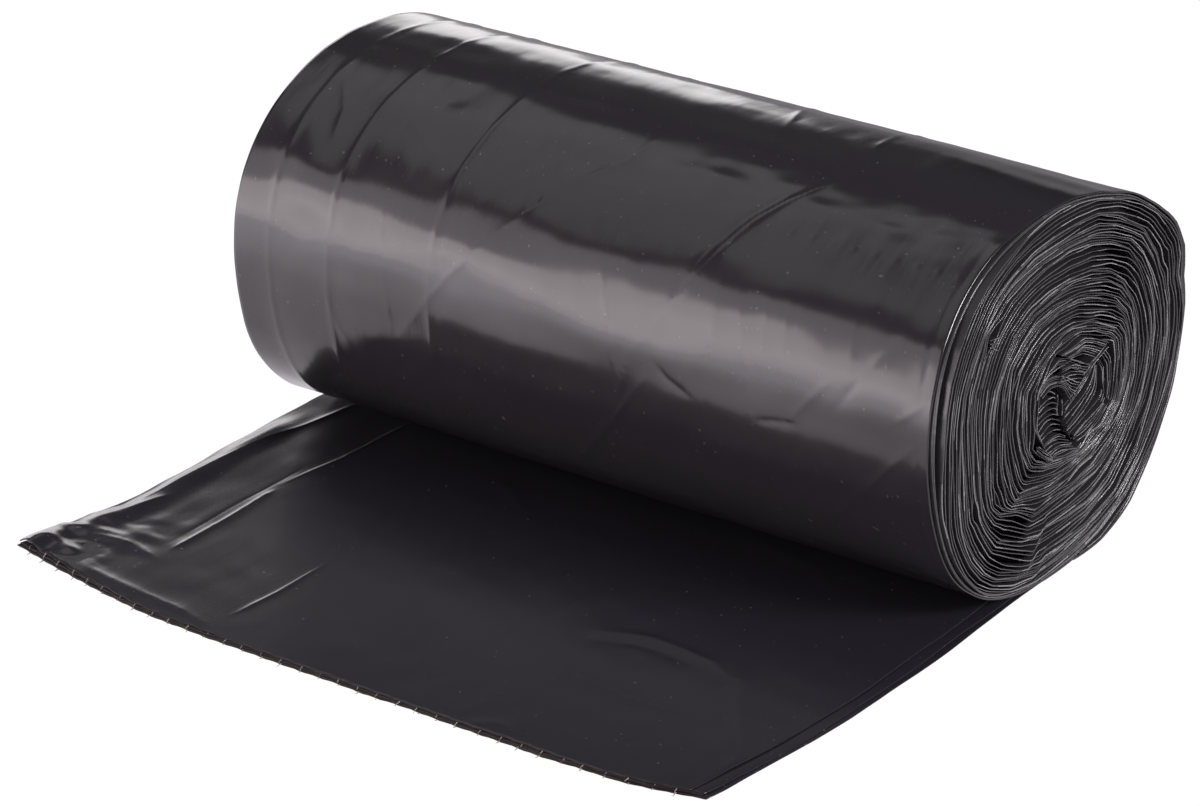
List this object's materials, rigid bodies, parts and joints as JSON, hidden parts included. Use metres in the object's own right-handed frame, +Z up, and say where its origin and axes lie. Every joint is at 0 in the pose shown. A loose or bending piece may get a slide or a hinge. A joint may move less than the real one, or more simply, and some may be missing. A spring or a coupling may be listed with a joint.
{
  "type": "bin bag roll",
  "caption": "Coreless roll of folded black film bags, slightly out of round, with the first bag's free tail lying flat in front.",
  "frame": {"origin": "on the resting face, under the middle of the roll", "axes": "+X along the winding axis towards the end at which the inner turns stand proud, +Y away from the free tail, +Z up from the resting face"},
  "size_m": [0.2377, 0.2113, 0.1039],
  "materials": {
    "film": "glossy black polyethylene film"
  },
  "bodies": {
    "root": {"bag_roll": "film"}
  },
  "joints": []
}
